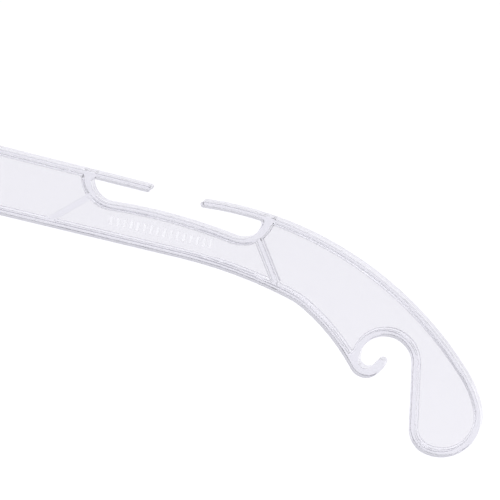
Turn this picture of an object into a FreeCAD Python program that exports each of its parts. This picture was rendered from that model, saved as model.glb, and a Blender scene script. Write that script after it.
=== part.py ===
import FreeCAD, Part
import math
import os

# Clear plastic shop hanger for tops and dresses: one moulded body, a flanged metal sleeve pressed
# into its neck, and a bent wire hook that swivels in the sleeve.
# Millimetres. X runs along the arms, Y through the thickness, Z up. The front faces -Y. The origin
# is the point where the hanger hangs: the inside top of the hook, on the swivel axis. The pieces
# are drawn from the top of the neck, and each body's Placement then brings them down to hang there.

doc = FreeCAD.newDocument("clothes_hanger")

# ---------------------------------------------------------------- driving dimensions

DIMENSIONS = {
    # the moulding's section
    "flange_depth": 9.0,
    "flange_width": 2.5,
    "web_thickness": 2.0,
    "corner_round": 1.3,
    "edge_round": 0.4,
    "web_fillet": 1.0,
    # neck
    "neck_half_width": 7.0,
    "neck_corner_round": 2.0,
    "neck_blend_round": 12.0,
    "boss_radius": 4.2,
    "boss_drop": 16.0,
    "socket_depth": 11.0,
    # straight inner arm; slopes are in degrees below the horizontal
    "crown_drop": 16.2,
    "arm_slope": 12.7,
    "arm_height": 27.5,
    "belly_slope": 12.0,
    "crotch_round": 30.0,
    "belly_start": 91.0,
    "belly_round": 190.0,
    "elbow_round": 30.0,
    # strap slot and its two prongs
    "prong_width": 2.5,
    "inner_prong_reach": 79.0,
    "outer_prong_reach": 99.5,
    "slot_start": 54.2,
    "slot_end": 125.0,
    "slot_start_round": 9.0,
    "slot_end_round": 9.0,
    "slot_end_wall": 4.2,
    "slot_floor_round": 227.0,
    "slot_floor_centre_x": 32.9,
    "slot_floor_centre_drop": 266.5,
    # outer arm, shoulder and paddle; angles are those of the radius to each tangent point
    "crown_round": 148.0,
    "crown_centre_x": 82.8,
    "crown_centre_drop": 186.4,
    "shoulder_round": 45.5,
    "shoulder_angle": 32.0,
    "heel_round": 16.5,
    "heel_angle": 12.7,
    "toe_round": 10.8,
    "toe_angle": -111.4,
    # loop hook under the shoulder
    "notch_round": 11.0,
    "notch_centre_x": 175.2,
    "notch_centre_drop": 104.0,
    "loop_round": 3.2,
    "loop_wall": 3.8,
    "loop_angle": 175.0,
    "loop_tip_turn": -44.0,
    "loop_tip_length": 3.2,
    "haunch_round": 83.6,
    "haunch_angle": 208.4,
    # diagonal ribs, each from a bearing on the slot's end to a foot on the underside's flange
    "rib_width": 2.5,
    "rib_depth": 8.4,
    "inner_rib_bearing": 212.5,
    "inner_rib_foot_x": 34.3,
    "outer_rib_bearing": -51.6,
    "outer_rib_foot_bearing": 60.1,
    # row of plain raised bars on the front of the +X arm's lower bar
    "mark_count": 16,
    "mark_start_x": 62.0,
    "mark_start_drop": 48.5,
    "mark_pitch": 2.8,
    "mark_width": 1.0,
    "mark_height": 3.6,
    "mark_relief": 0.25,
    # hook wire and its sleeve
    "wire_radius": 1.7,
    "running_gap": 0.05,
    "sleeve_radius": 3.0,
    "sleeve_length": 9.0,
    "sleeve_flange_radius": 4.2,
    "sleeve_flange_height": 1.0,
    "head_radius": 2.6,
    "head_height": 1.7,
    "head_gap": 0.1,
    "stem_height": 32.0,
    "stem_bend_round": 12.0,
    "rail_loop_round": 20.7,
    "rail_loop_end": 205.0,
    "wire_end_round": 1.2,
    "metal_edge_round": 0.3,
}

FULL_TURN = 360
HALF_TURN = 180
RIGHT_ANGLE = 90
EDGE_TOLERANCE = 0.001
EDGE_SAMPLES = 5

# from the top of the neck to the inside top of the hook
HANG_HEIGHT = (
    "dims.stem_height + dims.rail_loop_round - dims.wire_radius"
    " + sqrt((dims.rail_loop_round + dims.stem_bend_round)^2 - dims.stem_bend_round^2)"
)

sheet = doc.addObject("Spreadsheet::Sheet", "dims")
for row, (alias, value) in enumerate(DIMENSIONS.items(), start=1):
    sheet.set(f"A{row}", alias)
    sheet.set(f"B{row}", str(value))
    sheet.setAlias(f"B{row}", alias)
doc.recompute()


def dim(alias):
    return float(sheet.get(alias))


# ---------------------------------------------------------------- outline geometry
# Points are 2-D vectors in the plane of the arms: x along the arms, y up.

def point(x, y):
    return FreeCAD.Vector(x, y, 0)


def heading(degrees):
    angle = math.radians(degrees)
    return point(math.cos(angle), math.sin(angle))


def on_circle(centre, radius, degrees):
    return centre + heading(degrees) * radius


def bearing(start, end):
    """The direction from start to end, in degrees."""
    return math.degrees(math.atan2(end.y - start.y, end.x - start.x))


def circles_meet(centre_a, radius_a, centre_b, radius_b, side):
    """The point on both circles, to the left (side 1) or right (side -1) of the line from a to b."""
    span = centre_b - centre_a
    along = (span.Length ** 2 + radius_a ** 2 - radius_b ** 2) / (2 * span.Length)
    across = math.sqrt(radius_a ** 2 - along ** 2)
    unit = span / span.Length
    left = point(-unit.y, unit.x)
    return centre_a + unit * along + left * (side * across)


def line_meets_circle(start, degrees, centre, radius):
    """Where the line through start, followed the given way, leaves a circle."""
    unit = heading(degrees)
    along = (centre - start).dot(unit)
    nearest = start + unit * along
    reach = math.sqrt(radius ** 2 - (centre - nearest).Length ** 2)
    return nearest + unit * reach


class Trace:
    """A chain of lines and arcs, each starting where the last one ended."""

    def __init__(self, start):
        self.start = start
        self.at = start
        self.curves = []

    def line_to(self, end):
        self.curves.append(Part.LineSegment(self.at, end))
        self.at = end

    def arc_to(self, end, centre, clockwise):
        first = bearing(centre, self.at)
        last = bearing(centre, end)
        sweep = (first - last) % FULL_TURN if clockwise else (last - first) % FULL_TURN
        turn = -sweep / 2 if clockwise else sweep / 2
        middle = on_circle(centre, (self.at - centre).Length, first + turn)
        self.curves.append(Part.ArcOfCircle(self.at, middle, end))
        self.at = end

    def closed(self):
        self.line_to(self.start)
        return self.curves


class Arm:
    """The circles and lines that the +X arm is drawn with. The web's edge lies inside them by the
    flange's width and shares their centres, except at the slot's two ends, where the wall is thicker."""

    def __init__(self):
        # straight top and underside of the inner arm
        self.top_start = point(0, -dim("crown_drop"))
        self.top_run = heading(-dim("arm_slope"))
        self.top_normal = heading(RIGHT_ANGLE - dim("arm_slope"))
        self.under_start = point(0, -dim("crown_drop") - dim("arm_height"))
        self.under_run = heading(-dim("belly_slope"))
        self.under_normal = heading(RIGHT_ANGLE - dim("belly_slope"))

        # slot: a crowned floor between two round ends that touch it
        self.floor = dim("slot_floor_round")
        self.floor_centre = point(dim("slot_floor_centre_x"), -dim("slot_floor_centre_drop"))
        self.slot_start = dim("slot_start_round")
        self.slot_start_centre = self.above_floor(
            dim("slot_start") + self.slot_start, self.slot_start, self.floor
        )
        self.slot_end = dim("slot_end_round")
        self.slot_end_centre = self.above_floor(
            dim("slot_end") - self.slot_end, self.slot_end, self.floor
        )
        self.floor_start_angle = bearing(self.floor_centre, self.slot_start_centre)
        self.floor_end_angle = bearing(self.floor_centre, self.slot_end_centre)

        # the web's round corners behind the slot's thicker end walls
        self.web_floor = self.floor - dim("flange_width")
        self.web_start = self.slot_start + dim("slot_end_wall")
        self.web_start_centre = self.above_floor(self.slot_start_centre.x, self.web_start, self.web_floor)
        self.web_end = self.slot_end + dim("slot_end_wall")
        self.web_end_centre = self.above_floor(self.slot_end_centre.x, self.web_end, self.web_floor)

        # crown, shoulder, heel and toe: a chain of arcs, each touching the next from outside
        self.crown = dim("crown_round")
        self.crown_centre = point(dim("crown_centre_x"), -dim("crown_centre_drop"))
        self.shoulder = dim("shoulder_round")
        self.shoulder_angle = dim("shoulder_angle")
        self.shoulder_centre = on_circle(self.crown_centre, self.crown - self.shoulder, self.shoulder_angle)
        self.heel = dim("heel_round")
        self.heel_angle = dim("heel_angle")
        self.heel_centre = on_circle(self.shoulder_centre, self.shoulder - self.heel, self.heel_angle)
        self.toe = dim("toe_round")
        self.toe_angle = dim("toe_angle")
        self.toe_centre = on_circle(self.heel_centre, self.heel - self.toe, self.toe_angle)

        # notch, and the straight side of the paddle that touches both the notch and the toe
        self.notch = dim("notch_round")
        self.notch_centre = point(dim("notch_centre_x"), -dim("notch_centre_drop"))
        span = self.toe_centre - self.notch_centre
        lean = math.degrees(math.acos((self.notch + self.toe) / span.Length))
        self.side_angle = bearing(self.notch_centre, self.toe_centre) + lean

        # loop hook, touching the notch from inside, and the haunch that touches the loop
        self.loop = dim("loop_round")
        self.loop_wall = dim("loop_wall")
        self.loop_angle = dim("loop_angle")
        self.loop_centre = on_circle(self.notch_centre, self.notch - self.loop, self.loop_angle)
        self.haunch = dim("haunch_round")
        self.haunch_angle = dim("haunch_angle")
        loop_outside = self.loop + self.loop_wall
        self.haunch_centre = on_circle(self.loop_centre, loop_outside + self.haunch, self.haunch_angle)

        # bowed bar under the slot, and the elbow that turns it into the haunch
        self.belly = dim("belly_round")
        belly_along = dim("belly_start") / self.under_run.x
        self.belly_tangent = self.under_start + self.under_run * belly_along
        self.belly_centre = self.belly_tangent - self.under_normal * self.belly
        self.elbow = dim("elbow_round")
        self.elbow_centre = circles_meet(
            self.belly_centre, self.belly - self.elbow, self.haunch_centre, self.haunch - self.elbow, -1
        )
        self.elbow_start_angle = bearing(self.haunch_centre, self.elbow_centre)
        self.elbow_end_angle = bearing(self.belly_centre, self.elbow_centre)
        self.crotch = dim("crotch_round")
        self.crotch_centre = self.under_start - point(0, self.crotch / self.under_run.x)

    def above_floor(self, x, radius, floor):
        """The centre at x of a circle that stands on the slot's floor, or on the web's edge below it."""
        rise = math.sqrt((floor + radius) ** 2 - (x - self.floor_centre.x) ** 2)
        return point(x, self.floor_centre.y + rise)

    def trace_paddle(self, trace, inset):
        """Down the crown and round the paddle to the straight side's upper end."""
        crown_end = on_circle(self.crown_centre, self.crown - inset, self.shoulder_angle)
        shoulder_end = on_circle(self.shoulder_centre, self.shoulder - inset, self.heel_angle)
        heel_end = on_circle(self.heel_centre, self.heel - inset, self.toe_angle)
        toe_end = on_circle(self.toe_centre, self.toe - inset, self.side_angle + HALF_TURN)
        trace.arc_to(crown_end, self.crown_centre, True)
        trace.arc_to(shoulder_end, self.shoulder_centre, True)
        trace.arc_to(heel_end, self.heel_centre, True)
        trace.arc_to(toe_end, self.toe_centre, True)
        trace.line_to(on_circle(self.notch_centre, self.notch + inset, self.side_angle))

    def trace_underside(self, trace, inset):
        """Back along the haunch, the elbow, the bowed bar and the straight underside to the middle."""
        haunch_end = on_circle(self.haunch_centre, self.haunch + inset, self.elbow_start_angle)
        elbow_end = on_circle(self.elbow_centre, self.elbow + inset, self.elbow_end_angle)
        crotch_start = on_circle(self.crotch_centre, self.crotch + inset, RIGHT_ANGLE - dim("belly_slope"))
        trace.arc_to(haunch_end, self.haunch_centre, False)
        trace.arc_to(elbow_end, self.elbow_centre, False)
        trace.arc_to(self.belly_tangent + self.under_normal * inset, self.belly_centre, False)
        trace.line_to(crotch_start)
        trace.arc_to(self.crotch_centre + point(0, self.crotch + inset), self.crotch_centre, False)

    def outline(self):
        """The moulding's edge, from the top of the neck round to the middle of the underside."""
        # neck
        side = dim("neck_half_width")
        top_corner = dim("neck_corner_round")
        blend = dim("neck_blend_round")
        blend_along = (side + blend - self.top_normal.x * blend) / self.top_run.x
        blend_end = self.top_start + self.top_run * blend_along
        blend_centre = blend_end + self.top_normal * blend
        trace = Trace(point(0, 0))
        trace.line_to(point(side - top_corner, 0))
        trace.arc_to(point(side, -top_corner), point(side - top_corner, -top_corner), True)
        trace.line_to(point(side, blend_centre.y))
        trace.arc_to(blend_end, blend_centre, False)

        # inner prong: the top line runs on to its tip, and its underside runs back to the slot
        prong = dim("prong_width")
        corner = dim("corner_round")
        tip_along = (dim("inner_prong_reach") - prong / 2) / self.top_run.x
        tip_top = self.top_start + self.top_run * tip_along
        tip_bottom = tip_top - self.top_normal * prong
        entry_centre = line_meets_circle(
            tip_bottom - self.top_normal * corner, HALF_TURN - dim("arm_slope"),
            self.slot_start_centre, self.slot_start - corner
        )
        entry_angle = bearing(self.slot_start_centre, entry_centre)
        trace.line_to(tip_top)
        trace.arc_to(tip_bottom, tip_top - self.top_normal * (prong / 2), True)
        trace.line_to(entry_centre + self.top_normal * corner)
        trace.arc_to(on_circle(self.slot_start_centre, self.slot_start, entry_angle), entry_centre, False)

        # slot, then the outer prong, which is concentric with the crown
        under_prong = self.crown - prong
        exit_centre = circles_meet(
            self.crown_centre, under_prong - corner, self.slot_end_centre, self.slot_end - corner, -1
        )
        exit_angle = bearing(self.slot_end_centre, exit_centre)
        under_start_angle = bearing(self.crown_centre, exit_centre)
        tip_middle = self.crown - prong / 2
        tip_angle = math.degrees(math.acos(
            (dim("outer_prong_reach") + prong / 2 - self.crown_centre.x) / tip_middle
        ))
        trace.arc_to(on_circle(self.floor_centre, self.floor, self.floor_start_angle),
                     self.slot_start_centre, False)
        trace.arc_to(on_circle(self.floor_centre, self.floor, self.floor_end_angle),
                     self.floor_centre, True)
        trace.arc_to(on_circle(self.slot_end_centre, self.slot_end, exit_angle),
                     self.slot_end_centre, False)
        trace.arc_to(on_circle(self.crown_centre, under_prong, under_start_angle), exit_centre, False)
        trace.arc_to(on_circle(self.crown_centre, under_prong, tip_angle), self.crown_centre, False)
        trace.arc_to(on_circle(self.crown_centre, self.crown, tip_angle),
                     on_circle(self.crown_centre, tip_middle, tip_angle), True)

        self.trace_paddle(trace, 0)

        # notch and loop hook
        tip_turn = dim("loop_tip_turn")
        tip_middle = on_circle(self.loop_centre, self.loop + self.loop_wall / 2, tip_turn)
        tip_centre = tip_middle + heading(tip_turn + RIGHT_ANGLE) * dim("loop_tip_length")
        trace.arc_to(on_circle(self.notch_centre, self.notch, self.loop_angle), self.notch_centre, False)
        trace.arc_to(on_circle(self.loop_centre, self.loop, tip_turn), self.loop_centre, False)
        trace.line_to(on_circle(tip_centre, self.loop_wall / 2, tip_turn + HALF_TURN))
        trace.arc_to(on_circle(tip_centre, self.loop_wall / 2, tip_turn), tip_centre, True)
        trace.line_to(on_circle(self.loop_centre, self.loop + self.loop_wall, tip_turn))
        trace.arc_to(on_circle(self.haunch_centre, self.haunch, self.haunch_angle - HALF_TURN),
                     self.loop_centre, True)

        self.trace_underside(trace, 0)
        return trace.closed()

    def web(self):
        """The edge of the recessed web, one flange's width inside the outline, its corners rounded."""
        inset = dim("flange_width")
        corner = dim("corner_round")
        apex = self.top_start - point(0, inset / self.top_run.x)
        entry_centre = line_meets_circle(
            apex - self.top_normal * corner, HALF_TURN - dim("arm_slope"),
            self.web_start_centre, self.web_start + corner
        )
        exit_centre = circles_meet(
            self.crown_centre, self.crown - inset - corner, self.web_end_centre, self.web_end + corner, -1
        )
        throat_centre = circles_meet(
            self.haunch_centre, self.haunch + inset + corner,
            self.notch_centre, self.notch + inset + corner, 1
        )
        entry_angle = bearing(self.web_start_centre, entry_centre)
        exit_angle = bearing(self.web_end_centre, exit_centre)
        floor_start_angle = bearing(self.floor_centre, self.web_start_centre)
        floor_end_angle = bearing(self.floor_centre, self.web_end_centre)
        crown_start_angle = bearing(self.crown_centre, exit_centre)
        notch_end_angle = bearing(self.notch_centre, throat_centre)
        haunch_start_angle = bearing(self.haunch_centre, throat_centre)

        trace = Trace(apex)
        trace.line_to(entry_centre + self.top_normal * corner)
        trace.arc_to(on_circle(self.web_start_centre, self.web_start, entry_angle), entry_centre, True)
        trace.arc_to(on_circle(self.floor_centre, self.web_floor, floor_start_angle),
                     self.web_start_centre, False)
        trace.arc_to(on_circle(self.floor_centre, self.web_floor, floor_end_angle),
                     self.floor_centre, True)
        trace.arc_to(on_circle(self.web_end_centre, self.web_end, exit_angle), self.web_end_centre, False)
        trace.arc_to(on_circle(self.crown_centre, self.crown - inset, crown_start_angle),
                     exit_centre, True)
        self.trace_paddle(trace, inset)
        trace.arc_to(on_circle(self.notch_centre, self.notch + inset, notch_end_angle),
                     self.notch_centre, False)
        trace.arc_to(on_circle(self.haunch_centre, self.haunch + inset, haunch_start_angle),
                     throat_centre, True)
        self.trace_underside(trace, inset)
        return trace.closed()

    def ribs(self):
        """Each rib's two ends, both in the middle of the flange they join."""
        reach = dim("flange_width") / 2
        inner_start = on_circle(self.slot_start_centre, self.slot_start + reach, dim("inner_rib_bearing"))
        inner_foot = self.under_start + self.under_run * (dim("inner_rib_foot_x") / self.under_run.x)
        outer_start = on_circle(self.slot_end_centre, self.slot_end + reach, dim("outer_rib_bearing"))
        outer_foot = on_circle(self.haunch_centre, self.haunch + reach, dim("outer_rib_foot_bearing"))
        return {
            "inner_rib": (inner_start, inner_foot + self.under_normal * reach),
            "outer_rib": (outer_start, outer_foot),
        }


# ---------------------------------------------------------------- building blocks

def new_body(name):
    body = doc.addObject("PartDesign::Body", name)
    body.Label = name
    body.setExpression("Placement.Base.z", f"-({HANG_HEIGHT})")
    return body


def origin_part(body, role):
    for feature in body.Origin.OriginFeatures:
        if feature.Role == role:
            return feature
    raise LookupError(role)


def new_sketch(body, name, plane, curves):
    """A sketch on one of the body's own planes, its chain of curves joined end to end."""
    sketch = body.newObject("Sketcher::SketchObject", name)
    sketch.AttachmentSupport = [(origin_part(body, plane), "")]
    sketch.MapMode = "FlatFace"
    sketch.addGeometry(curves, False)
    return sketch


def new_pad(body, name, sketch, alias):
    """A pad of the sketch to both sides of its plane, its whole thickness bound to the sheet."""
    pad = body.newObject("PartDesign::Pad", name)
    pad.Profile = sketch
    pad.SideType = "Symmetric"
    pad.setExpression("Length", f"dims.{alias}")
    sketch.Visibility = False
    return pad


def revolved(body, kind, name, sketch):
    """A full turn of the sketch about the swivel axis: kind is Revolution or Groove."""
    feature = body.newObject(f"PartDesign::{kind}", name)
    feature.Profile = sketch
    feature.ReferenceAxis = (sketch, ["V_Axis"])
    feature.Angle = FULL_TURN
    sketch.Visibility = False
    return feature


def strip(start, end, width):
    """Four lines round a rectangle that runs from start to end."""
    along = (end - start).normalize()
    across = point(-along.y, along.x) * (width / 2)
    trace = Trace(start - across)
    trace.line_to(end - across)
    trace.line_to(end + across)
    trace.line_to(start + across)
    return trace.closed()


def flat_edges(shape, level):
    """Names of the edges that lie wholly at this distance from the middle plane, off the mirror plane."""
    names = []
    for number, edge in enumerate(shape.Edges, start=1):
        points = edge.discretize(EDGE_SAMPLES)
        at_level = all(abs(abs(place.y) - level) < EDGE_TOLERANCE for place in points)
        on_mirror = all(abs(place.x) < EDGE_TOLERANCE for place in points)
        if at_level and not on_mirror:
            names.append(f"Edge{number}")
    return names


def ring_edges(shape, centre, radius):
    """Names of the round edges of this radius about this centre."""
    names = []
    for number, edge in enumerate(shape.Edges, start=1):
        if not isinstance(edge.Curve, Part.Circle):
            continue
        off_centre = (edge.Curve.Center - centre).Length
        if off_centre < EDGE_TOLERANCE and abs(edge.Curve.Radius - radius) < EDGE_TOLERANCE:
            names.append(f"Edge{number}")
    return names


def new_fillet(body, name, edges, alias):
    base = body.Tip
    fillet = body.newObject("PartDesign::Fillet", name)
    fillet.Base = (base, edges)
    fillet.setExpression("Radius", f"dims.{alias}")
    doc.recompute()


# ---------------------------------------------------------------- hanger body

def recess(body, arm, name, side):
    """Sinks the web's panels into one face of the plate: side is 1 at the front, -1 at the back."""
    edge = new_sketch(body, f"{name}_edge", "XZ_Plane", arm.web())
    edge.setExpression("AttachmentOffset.Base.z", f"{side} * dims.web_thickness / 2")
    pocket = body.newObject("PartDesign::Pocket", name)
    pocket.Profile = edge
    pocket.Reversed = side > 0
    pocket.setExpression("Length", "(dims.flange_depth - dims.web_thickness) / 2")
    edge.Visibility = False


def add_marks(body):
    """A row of plain raised bars that follows the underside's slope."""
    half_width = dim("mark_width") / 2
    half_height = dim("mark_height") / 2
    bar = Trace(point(-half_width, -half_height))
    bar.line_to(point(half_width, -half_height))
    bar.line_to(point(half_width, half_height))
    bar.line_to(point(-half_width, half_height))
    outline = new_sketch(body, "mark_edge", "XZ_Plane", bar.closed())
    outline.AttachmentOffset = FreeCAD.Placement(
        FreeCAD.Vector(dim("mark_start_x"), -dim("mark_start_drop"), dim("web_thickness") / 2),
        FreeCAD.Rotation(FreeCAD.Vector(0, 0, 1), -dim("belly_slope"))
    )
    mark = body.newObject("PartDesign::Pad", "mark")
    mark.Profile = outline
    mark.setExpression("Length", "dims.mark_relief")
    outline.Visibility = False

    row = body.newObject("PartDesign::LinearPattern", "mark_row")
    row.Originals = [mark]
    row.Direction = (outline, ["H_Axis"])
    row.setExpression("Length", "dims.mark_pitch * (dims.mark_count - 1)")
    row.setExpression("Occurrences", "dims.mark_count")
    body.Tip = row


def build_hanger_body():
    arm = Arm()
    body = new_body("hanger_body")
    outline = new_sketch(body, "outline", "XZ_Plane", arm.outline())
    new_pad(body, "plate", outline, "flange_depth")
    recess(body, arm, "front_recess", 1)
    recess(body, arm, "back_recess", -1)
    doc.recompute()

    # the flange's root and rims are rounded first, and the ribs then run into them
    web_edges = flat_edges(body.Tip.Shape, dim("web_thickness") / 2)
    new_fillet(body, "web_fillets", web_edges, "web_fillet")
    rim_edges = flat_edges(body.Tip.Shape, dim("flange_depth") / 2)
    new_fillet(body, "edge_rounds", rim_edges, "edge_round")
    for name, (start, foot) in arm.ribs().items():
        rib = strip(start, foot, dim("rib_width"))
        new_pad(body, name, new_sketch(body, f"{name}_edge", "XZ_Plane", rib), "rib_depth")

    both_arms = body.newObject("PartDesign::Mirrored", "both_arms")
    both_arms.TransformMode = "Whole shape"
    both_arms.MirrorPlane = (origin_part(body, "YZ_Plane"), [""])
    body.Tip = both_arms
    doc.recompute()

    # boss that holds the socket, with a domed end
    radius = dim("boss_radius")
    drop = dim("boss_drop")
    boss = Trace(point(0, -dim("neck_corner_round")))
    boss.line_to(point(radius, -dim("neck_corner_round")))
    boss.line_to(point(radius, -drop))
    boss.arc_to(point(0, -drop - radius), point(0, -drop), True)
    revolved(body, "Revolution", "boss", new_sketch(body, "boss_profile", "XZ_Plane", boss.closed()))

    socket = Trace(point(0, 0))
    socket.line_to(point(dim("sleeve_radius"), 0))
    socket.line_to(point(dim("sleeve_radius"), -dim("socket_depth")))
    socket.line_to(point(0, -dim("socket_depth")))
    revolved(body, "Groove", "socket", new_sketch(body, "socket_profile", "XZ_Plane", socket.closed()))
    add_marks(body)
    return body


# ---------------------------------------------------------------- sleeve and hook

def build_hook_ferrule():
    bore = dim("wire_radius") + dim("running_gap")
    body = new_body("hook_ferrule")
    wall = Trace(point(bore, -dim("sleeve_length")))
    wall.line_to(point(dim("sleeve_radius"), -dim("sleeve_length")))
    wall.line_to(point(dim("sleeve_radius"), 0))
    wall.line_to(point(dim("sleeve_flange_radius"), 0))
    wall.line_to(point(dim("sleeve_flange_radius"), dim("sleeve_flange_height")))
    wall.line_to(point(bore, dim("sleeve_flange_height")))
    revolved(body, "Revolution", "sleeve", new_sketch(body, "sleeve_profile", "XZ_Plane", wall.closed()))
    doc.recompute()
    flange_top = FreeCAD.Vector(0, 0, dim("sleeve_flange_height"))
    rim = ring_edges(body.Tip.Shape, flange_top, dim("sleeve_flange_radius"))
    new_fillet(body, "sleeve_rim", rim, "metal_edge_round")
    return body


def build_swivel_hook():
    head_top = -dim("sleeve_length") - dim("head_gap")
    head_bottom = head_top - dim("head_height")
    body = new_body("swivel_hook")

    # path of the wire: the stem, a bend to one side, then the loop that rides on the rail
    stem_top = point(0, dim("stem_height"))
    bend = dim("stem_bend_round")
    bend_centre = stem_top + point(bend, 0)
    loop = dim("rail_loop_round")
    loop_centre = stem_top + point(0, math.sqrt((loop + bend) ** 2 - bend ** 2))
    path = Trace(point(0, head_bottom))
    path.line_to(stem_top)
    path.arc_to(on_circle(bend_centre, bend, bearing(bend_centre, loop_centre)), bend_centre, True)
    path.arc_to(on_circle(loop_centre, loop, dim("rail_loop_end")), loop_centre, False)
    spine = new_sketch(body, "wire_path", "XZ_Plane", path.curves)

    section = new_sketch(body, "wire_section", "XY_Plane", [])
    section.addGeometry(Part.Circle(point(0, 0), FreeCAD.Vector(0, 0, 1), dim("wire_radius")), False)
    section.AttachmentOffset = FreeCAD.Placement(FreeCAD.Vector(0, 0, head_bottom), FreeCAD.Rotation())
    wire = body.newObject("PartDesign::AdditivePipe", "wire")
    wire.Profile = section
    wire.Spine = (spine, [])
    spine.Visibility = False
    section.Visibility = False

    head = Trace(point(0, head_bottom))
    head.line_to(point(dim("head_radius"), head_bottom))
    head.line_to(point(dim("head_radius"), head_top))
    head.line_to(point(0, head_top))
    revolved(body, "Revolution", "head", new_sketch(body, "head_profile", "XZ_Plane", head.closed()))
    doc.recompute()

    wire_end = FreeCAD.Vector(path.at.x, 0, path.at.y)
    end_edge = ring_edges(body.Tip.Shape, wire_end, dim("wire_radius"))
    new_fillet(body, "wire_end", end_edge, "wire_end_round")
    head_foot = FreeCAD.Vector(0, 0, head_bottom)
    head_edge = ring_edges(body.Tip.Shape, head_foot, dim("head_radius"))
    new_fillet(body, "head_rim", head_edge, "metal_edge_round")
    return body


# ---------------------------------------------------------------- build, check and export

def check(body):
    """Stops the build on a failed feature, a bad solid or faces that cross each other."""
    for feature in [body] + body.Group:
        bad = [state for state in feature.State if state in ("Invalid", "Error")]
        if bad:
            raise RuntimeError(f"{feature.Label}: {bad}")
    if body.Shape.isNull() or not body.Shape.isValid() or not body.Shape.Solids:
        raise RuntimeError(f"{body.Label}: no valid solid")
    body.Shape.check(True)


bodies = [build_hanger_body(), build_hook_ferrule(), build_swivel_hook()]
doc.recompute()
os.makedirs("parts", exist_ok=True)
for body in bodies:
    check(body)
    body.Shape.exportStep(f"parts/{body.Label}.step")
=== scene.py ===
import math

import bpy
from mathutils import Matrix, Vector


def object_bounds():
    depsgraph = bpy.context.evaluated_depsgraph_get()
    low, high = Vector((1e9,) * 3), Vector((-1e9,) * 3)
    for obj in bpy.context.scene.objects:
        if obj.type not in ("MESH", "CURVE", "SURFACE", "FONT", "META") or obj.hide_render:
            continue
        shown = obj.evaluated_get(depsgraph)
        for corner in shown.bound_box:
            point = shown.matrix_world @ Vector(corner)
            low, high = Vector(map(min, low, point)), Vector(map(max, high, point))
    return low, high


# Looks of a clear plastic shop hanger with a plated swivel hook. Metres, +Z up, in the part's own
# frame: X runs along the arms, the front faces -Y, and the origin is the hook's inside top, on its
# swivel axis.

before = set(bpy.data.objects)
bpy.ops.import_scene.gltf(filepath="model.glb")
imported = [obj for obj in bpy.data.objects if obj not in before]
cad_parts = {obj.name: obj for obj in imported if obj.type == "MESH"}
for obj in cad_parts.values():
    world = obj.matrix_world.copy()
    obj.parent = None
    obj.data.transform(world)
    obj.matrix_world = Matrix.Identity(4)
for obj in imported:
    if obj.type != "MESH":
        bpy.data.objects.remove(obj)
cad_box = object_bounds()


# ---------------------------------------------------------------- node helpers

class Nodes:
    """A material's or world's node tree, with short ways to add and join nodes."""

    def __init__(self, owner):
        owner.use_nodes = True
        self.tree = owner.node_tree
        self.tree.nodes.clear()

    def add(self, kind, links=None, **settings):
        node = self.tree.nodes.new(kind)
        for name, value in settings.items():
            setattr(node, name, value)
        for name, value in (links or {}).items():
            self.feed(node.inputs[name], value)
        return node

    def feed(self, socket, value):
        if isinstance(value, bpy.types.NodeSocket):
            self.tree.links.new(value, socket)
        else:
            socket.default_value = value

    def math(self, operation, *values):
        node = self.add("ShaderNodeMath", operation=operation)
        for socket, value in zip(node.inputs, values):
            self.feed(socket, value)
        return node.outputs[0]

    def spread(self, value, low, high):
        """A 0 to 1 value spread over low to high."""
        node = self.add("ShaderNodeMapRange", {"Value": value, "To Min": low, "To Max": high})
        return node.outputs["Result"]

    def noise(self, place, scale, detail):
        node = self.add("ShaderNodeTexNoise", {"Vector": place, "Scale": scale, "Detail": detail})
        return node.outputs["Fac"]

    def reach_along_y(self, coordinates):
        """The size, without its sign, of the Y part of a texture coordinate."""
        source = self.add("ShaderNodeTexCoord").outputs[coordinates]
        part = self.add("ShaderNodeSeparateXYZ", {"Vector": source}).outputs["Y"]
        return self.math("ABSOLUTE", part)

    def stretched(self, stretch):
        """The object's own coordinates, scaled unequally so that a texture runs out into streaks."""
        place = self.add("ShaderNodeTexCoord").outputs["Object"]
        node = self.add("ShaderNodeMapping", {"Vector": place, "Scale": stretch})
        return node.outputs["Vector"]


def new_material(name):
    material = bpy.data.materials.new(name)
    return material, Nodes(material)


# ---------------------------------------------------------------- materials

EVEN = (1, 1, 1)

WEB_TINT = (0.83, 0.825, 0.845, 1)
# the deeper cast of the thick rims, also put on faces turned sideways as painted edge shade
RIM_TINT_AND_EDGE_SHADE = (0.805, 0.80, 0.835, 1)
WEB_FACE = 0.0012
RIM_FACE = 0.0040
# below the square root of two, so that light entering one face can leave by the next one: higher
# values, such as polystyrene's own 1.59, trap it and turn the tips black
PLASTIC_IOR = 1.38
PLASTIC_CLARITY = 0.985
PLASTIC_DENSITY = 11.0
PLASTIC_DEPTH_TINT = (0.55, 0.54, 0.62, 1)
POLISH = (0.04, 0.11)

SINK_WAVE_SCALE = 60
SINK_WAVE_SHARE = 0.8
FLOW_STRETCH = (25, 120, 160)
FLOW_SCALE = 1.5
FLOW_SHARE = 0.2
HAZE_SCALE = 350
PLASTIC_RELIEF = {"Strength": 0.03, "Distance": 0.001}

FROST_TINT = (0.97, 0.97, 0.98, 1)
FROST_CLARITY = 0.93
FROST_ROUGHNESS = (0.35, 0.55)
FROST_GRAIN_SCALE = 2500
FROST_RELIEF = {"Strength": 0.2, "Distance": 0.0001}
BAR_FRONT = -0.00125
BAR_TOLERANCE = 0.00001

HOOK_COLOUR = (0.42, 0.43, 0.45, 1)
HOOK_STREAKS = (900, 900, 60)
HOOK_ROUGHNESS = (0.14, 0.30)
FERRULE_COLOUR = (0.36, 0.37, 0.38, 1)
FERRULE_STREAKS = (60, 60, 2500)
FERRULE_ROUGHNESS = (0.18, 0.34)
TARNISH = 0.9
TARNISH_SCALE = 180
METAL_RELIEF = {"Strength": 0.12, "Distance": 0.0001}


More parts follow.
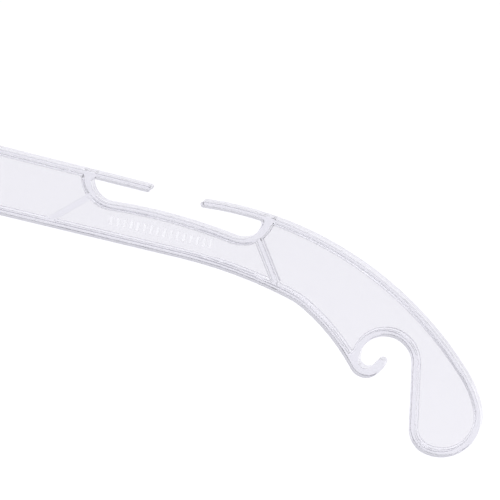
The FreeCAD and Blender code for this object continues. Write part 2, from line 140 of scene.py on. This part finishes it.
def clear_plastic():
    """Polished clear moulding: faint flow streaks along the arms, soft sink waves and a lavender
    cast that deepens with thickness. Faces turned away from the front and back also get the
    deeper cast, as painted edge shade."""
    material, nodes = new_material("clear_plastic")
    waves = nodes.noise(nodes.stretched(EVEN), SINK_WAVE_SCALE, 2)
    streaks = nodes.noise(nodes.stretched(FLOW_STRETCH), FLOW_SCALE, 3)
    haze = nodes.noise(nodes.stretched(EVEN), HAZE_SCALE, 4)
    relief = nodes.math(
        "ADD",
        nodes.math("MULTIPLY", waves, SINK_WAVE_SHARE),
        nodes.math("MULTIPLY", streaks, FLOW_SHARE),
    )
    bump = nodes.add("ShaderNodeBump", {"Height": relief, **PLASTIC_RELIEF})
    thickness = nodes.add("ShaderNodeMapRange", {
        "Value": nodes.reach_along_y("Object"), "From Min": WEB_FACE, "From Max": RIM_FACE,
    })
    # painted edge shade: faces turned away from the front and back take the darker rim colour
    edge_shade_mask = nodes.math("SUBTRACT", 1.0, nodes.reach_along_y("Normal"))
    tint_and_edge_shade = nodes.add("ShaderNodeMixRGB", {
        "Fac": nodes.math("MAXIMUM", thickness.outputs["Result"], edge_shade_mask),
        "Color1": WEB_TINT,
        "Color2": RIM_TINT_AND_EDGE_SHADE,
    })
    surface = nodes.add("ShaderNodeBsdfPrincipled", {
        "Base Color": tint_and_edge_shade.outputs["Color"],
        "Roughness": nodes.spread(haze, *POLISH),
        "IOR": PLASTIC_IOR,
        "Transmission Weight": PLASTIC_CLARITY,
        "Normal": bump.outputs["Normal"],
    })
    inside = nodes.add("ShaderNodeVolumeAbsorption", {
        "Color": PLASTIC_DEPTH_TINT,
        "Density": PLASTIC_DENSITY,
    })
    nodes.add("ShaderNodeOutputMaterial", {
        "Surface": surface.outputs["BSDF"],
        "Volume": inside.outputs["Volume"],
    })
    return material


def frosted_plastic():
    """The same plastic where the mould is finely etched: paler and softly scattering."""
    material, nodes = new_material("frosted_plastic")
    grain = nodes.noise(nodes.stretched(EVEN), FROST_GRAIN_SCALE, 3)
    bump = nodes.add("ShaderNodeBump", {"Height": grain, **FROST_RELIEF})
    surface = nodes.add("ShaderNodeBsdfPrincipled", {
        "Base Color": FROST_TINT,
        "Roughness": nodes.spread(grain, *FROST_ROUGHNESS),
        "IOR": PLASTIC_IOR,
        "Transmission Weight": FROST_CLARITY,
        "Normal": bump.outputs["Normal"],
    })
    nodes.add("ShaderNodeOutputMaterial", {"Surface": surface.outputs["BSDF"]})
    return material


def plated_metal(name, colour, streaks, roughness):
    """Plated steel with fine tool marks drawn out along one direction."""
    material, nodes = new_material(name)
    lines = nodes.noise(nodes.stretched(streaks), 1.0, 4)
    cloud = nodes.noise(nodes.stretched(EVEN), TARNISH_SCALE, 3)
    shade = nodes.add("ShaderNodeMixRGB", {
        "Fac": cloud,
        "Color1": colour,
        "Color2": tuple(TARNISH * part for part in colour[:3]) + (1,),
    })
    bump = nodes.add("ShaderNodeBump", {"Height": lines, **METAL_RELIEF})
    surface = nodes.add("ShaderNodeBsdfPrincipled", {
        "Base Color": shade.outputs["Color"],
        "Metallic": 1.0,
        "Roughness": nodes.spread(lines, *roughness),
        "Normal": bump.outputs["Normal"],
    })
    nodes.add("ShaderNodeOutputMaterial", {"Surface": surface.outputs["BSDF"]})
    return material


def dress(node, material):
    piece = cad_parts[node]
    piece.data.materials.clear()
    piece.data.materials.append(material)


def frost_bars(material):
    """Gives the raised bars' front faces their own material, found by how far they stand forward."""
    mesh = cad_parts["hanger_body"].data
    mesh.materials.append(material)
    for face in mesh.polygons:
        if abs(face.center.y - BAR_FRONT) < BAR_TOLERANCE:
            face.material_index = len(mesh.materials) - 1


dress("hanger_body", clear_plastic())
frost_bars(frosted_plastic())
dress("swivel_hook", plated_metal("hook_wire", HOOK_COLOUR, HOOK_STREAKS, HOOK_ROUGHNESS))
dress("hook_ferrule", plated_metal("ferrule_metal", FERRULE_COLOUR, FERRULE_STREAKS, FERRULE_ROUGHNESS))


# ---------------------------------------------------------------- floor, light and camera

FLOOR_GAP = 0.35
FLOOR_SIZE = 60.0
FLOOR_COLOUR = (0.94, 0.94, 0.94, 1)
BACKDROP = (1, 1, 1, 1)
# height from straight down (0) to straight up (1), and the colour there
SKY_STOPS = [
    (0.0, (0.75, 0.74, 0.80, 1)),
    (0.42, (0.86, 0.86, 0.89, 1)),
    (0.62, (0.86, 0.86, 0.89, 1)),
    (0.78, (0.55, 0.54, 0.60, 1)),
    (1.0, (0.85, 0.85, 0.88, 1)),
]
KEY_PLACE = (-0.8, -1.4, 1.3)
KEY_SIZE = 0.9
KEY_WATTS = 4
FILL_PLACE = (1.2, 1.2, 1.2)
FILL_SIZE = 1.2
FILL_WATTS = 3
CEILING_WAY = (0.0, -0.3, 1.0)
CEILING_SPREAD = math.radians(120)
CEILING_STRENGTH = 1.3


def lay_floor():
    level = cad_box[0][2] - FLOOR_GAP
    half = FLOOR_SIZE / 2
    corners = [(-half, -half, level), (half, -half, level), (half, half, level), (-half, half, level)]
    mesh = bpy.data.meshes.new("floor")
    mesh.from_pydata(corners, [], [(0, 1, 2, 3)])
    floor = bpy.data.objects.new("floor", mesh)
    bpy.context.scene.collection.objects.link(floor)
    material, nodes = new_material("pale_floor")
    surface = nodes.add("ShaderNodeBsdfDiffuse", {"Color": FLOOR_COLOUR})
    nodes.add("ShaderNodeOutputMaterial", {"Surface": surface.outputs["BSDF"]})
    mesh.materials.append(material)


def light_world():
    """White to the camera. Light that the hanger bends or mirrors comes from a pale band round the
    horizon with a darker, cooler band above it, so that clear edges show."""
    world = bpy.data.worlds.new("studio")
    bpy.context.scene.world = world
    nodes = Nodes(world)
    way = nodes.add("ShaderNodeTexCoord").outputs["Generated"]
    height = nodes.add("ShaderNodeSeparateXYZ", {"Vector": way}).outputs["Z"]
    level = nodes.add("ShaderNodeMapRange", {
        "Value": height, "From Min": -1.0, "From Max": 1.0,
    }).outputs["Result"]
    ramp = nodes.add("ShaderNodeValToRGB", {"Fac": level})
    while len(ramp.color_ramp.elements) < len(SKY_STOPS):
        ramp.color_ramp.elements.new(0.5)
    for element, (position, colour) in zip(ramp.color_ramp.elements, SKY_STOPS):
        element.position = position
        element.color = colour
    seen = nodes.add("ShaderNodeBackground", {"Color": BACKDROP})
    felt = nodes.add("ShaderNodeBackground", {"Color": ramp.outputs["Color"]})
    direct = nodes.add("ShaderNodeLightPath").outputs["Is Camera Ray"]
    mixed = nodes.add("ShaderNodeMixShader", {"Fac": direct})
    nodes.feed(mixed.inputs[1], felt.outputs[0])
    nodes.feed(mixed.inputs[2], seen.outputs[0])
    nodes.add("ShaderNodeOutputWorld", {"Surface": mixed.outputs[0]})


def softbox(name, place, aim, size, watts):
    lamp = bpy.data.lights.new(name, "AREA")
    lamp.size = size
    lamp.energy = watts
    holder = bpy.data.objects.new(name, lamp)
    bpy.context.scene.collection.objects.link(holder)
    holder.location = place
    holder.rotation_euler = (Vector(aim) - Vector(place)).to_track_quat("-Z", "Y").to_euler()


def wide_sun(name, way, spread, strength):
    """Soft, even light from one side, given as the direction towards the light."""
    lamp = bpy.data.lights.new(name, "SUN")
    lamp.angle = spread
    lamp.energy = strength
    holder = bpy.data.objects.new(name, lamp)
    bpy.context.scene.collection.objects.link(holder)
    holder.rotation_euler = Vector(way).to_track_quat("Z", "Y").to_euler()


# The picture takes in the outer two thirds of the +X arm, seen a little from the +X side and above.
VIEW_CENTRE = Vector((0.1199, -0.0045, -0.1403))
VIEW_AZIMUTH = math.radians(9.5)
VIEW_ELEVATION = math.radians(8.5)
VIEW_WIDTH = 0.203
VIEW_DISTANCE = 2.0
SENSOR = 36.0
LIGHT_BOUNCES = 32


def place_camera():
    back = Vector((
        math.sin(VIEW_AZIMUTH) * math.cos(VIEW_ELEVATION),
        -math.cos(VIEW_AZIMUTH) * math.cos(VIEW_ELEVATION),
        math.sin(VIEW_ELEVATION),
    ))
    lens = bpy.data.cameras.new("camera")
    lens.sensor_width = SENSOR
    lens.lens = SENSOR * VIEW_DISTANCE / VIEW_WIDTH
    camera = bpy.data.objects.new("camera", lens)
    bpy.context.scene.collection.objects.link(camera)
    camera.location = VIEW_CENTRE + back * VIEW_DISTANCE
    camera.rotation_euler = (-back).to_track_quat("-Z", "Y").to_euler()
    bpy.context.scene.camera = camera


lay_floor()
light_world()
softbox("key_softbox", KEY_PLACE, VIEW_CENTRE, KEY_SIZE, KEY_WATTS)
softbox("fill_softbox", FILL_PLACE, VIEW_CENTRE, FILL_SIZE, FILL_WATTS)
wide_sun("ceiling_light", CEILING_WAY, CEILING_SPREAD, CEILING_STRENGTH)
place_camera()
bpy.context.scene.view_settings.view_transform = "Standard"

# light crosses many walls of clear plastic before it leaves the moulding
bpy.context.scene.cycles.max_bounces = LIGHT_BOUNCES
bpy.context.scene.cycles.transmission_bounces = LIGHT_BOUNCES
